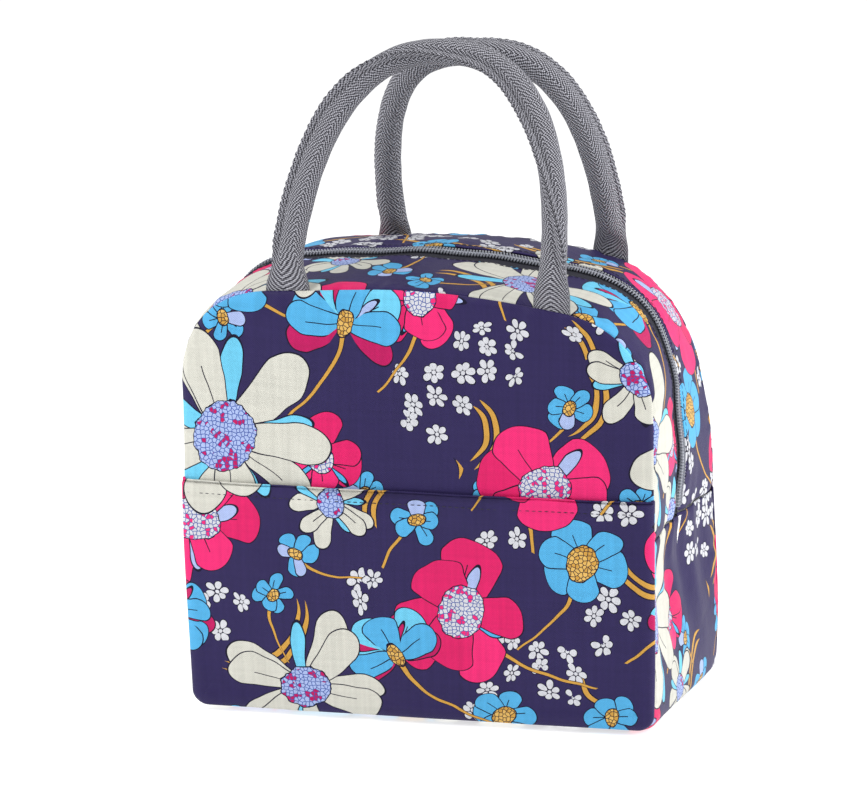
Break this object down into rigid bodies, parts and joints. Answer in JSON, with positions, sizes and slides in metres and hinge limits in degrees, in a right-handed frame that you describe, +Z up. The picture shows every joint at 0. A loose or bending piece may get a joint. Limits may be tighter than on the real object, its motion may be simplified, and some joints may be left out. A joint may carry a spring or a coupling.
{
  "type": "insulated lunch bag",
  "caption": "Soft insulated lunch bag with a zipped clamshell mouth, a front slip pocket and two padded webbing handles.",
  "frame": {"origin": "centre of the flat base, on the surface that the bag stands on", "axes": "+Z up, -Y is the front with the pocket, +X is the right side seen from the front"},
  "size_m": [0.2273, 0.1334, 0.3133],
  "materials": {
    "printed_cloth": "satin printed oxford cloth",
    "insulation_foam": "closed-cell foam sheet",
    "foil_lining": "reflective film",
    "binding": "woven tape",
    "zip_tape": "woven tape",
    "zip_coil": "nylon coil",
    "handle_webbing": "herringbone webbing",
    "handle_core": "twisted cord",
    "slider_metal": "gunmetal lacquer"
  },
  "bodies": {
    "tub": {"base_gusset": "printed_cloth", "base_foam": "insulation_foam", "base_lining": "foil_lining", "front_panel_lower": "printed_cloth", "front_foam_lower": "insulation_foam", "front_lining_lower": "foil_lining", "back_panel_lower": "printed_cloth", "back_foam_lower": "insulation_foam", "back_lining_lower": "foil_lining", "front_pocket_lower": "printed_cloth", "front_binding_lower": "binding", "back_binding_lower": "binding"},
    "front_mouth": {"front_panel_upper": "printed_cloth", "front_foam_upper": "insulation_foam", "front_lining_upper": "foil_lining", "front_pocket_upper": "printed_cloth", "front_zip_strip": "printed_cloth", "front_strip_foam": "insulation_foam", "front_strip_lining": "foil_lining", "front_zip_tape": "zip_tape", "front_zip_coil": "zip_coil", "front_binding_upper": "binding"},
    "rear_mouth": {"back_panel_upper": "printed_cloth", "back_foam_upper": "insulation_foam", "back_lining_upper": "foil_lining", "rear_zip_strip": "printed_cloth", "rear_strip_foam": "insulation_foam", "rear_strip_lining": "foil_lining", "rear_zip_tape": "zip_tape", "rear_zip_coil": "zip_coil", "back_binding_upper": "binding"},
    "front_handle": {"front_handle_webbing": "handle_webbing", "front_handle_core": "handle_core"},
    "rear_handle": {"rear_handle_webbing": "handle_webbing", "rear_handle_core": "handle_core"},
    "slider": {"zipper_slider": "slider_metal"},
    "pull": {"zipper_pull": "slider_metal"}
  },
  "joints": [
    {"name": "front_mouth_open", "type": "hinge", "parent": "tub", "child": "front_mouth", "pos_m": [0, -0.0659, 0.09], "axis": [1, 0, 0], "range_deg": [0, 20]},
    {"name": "rear_mouth_open", "type": "hinge", "parent": "tub", "child": "rear_mouth", "pos_m": [0, 0.065, 0.09], "axis": [-1, 0, 0], "range_deg": [0, 20]},
    {"name": "front_handle_drop", "type": "hinge", "parent": "front_mouth", "child": "front_handle", "pos_m": [-0.001, -0.0659, 0.2019], "axis": [1, 0, 0], "range_deg": [0, 180]},
    {"name": "rear_handle_drop", "type": "hinge", "parent": "rear_mouth", "child": "rear_handle", "pos_m": [0.007, 0.0659, 0.2036], "axis": [-1, 0, 0], "range_deg": [0, 180]},
    {"name": "zip_travel", "type": "slide", "parent": "rear_mouth", "child": "slider", "axis": [0, 0, 1], "range_m": [0, 0.045]},
    {"name": "pull_swing", "type": "hinge", "parent": "slider", "child": "pull", "pos_m": [-0.1138, 0, 0.0976], "axis": [0, 1, 0], "range_deg": [0, 110]}
  ]
}
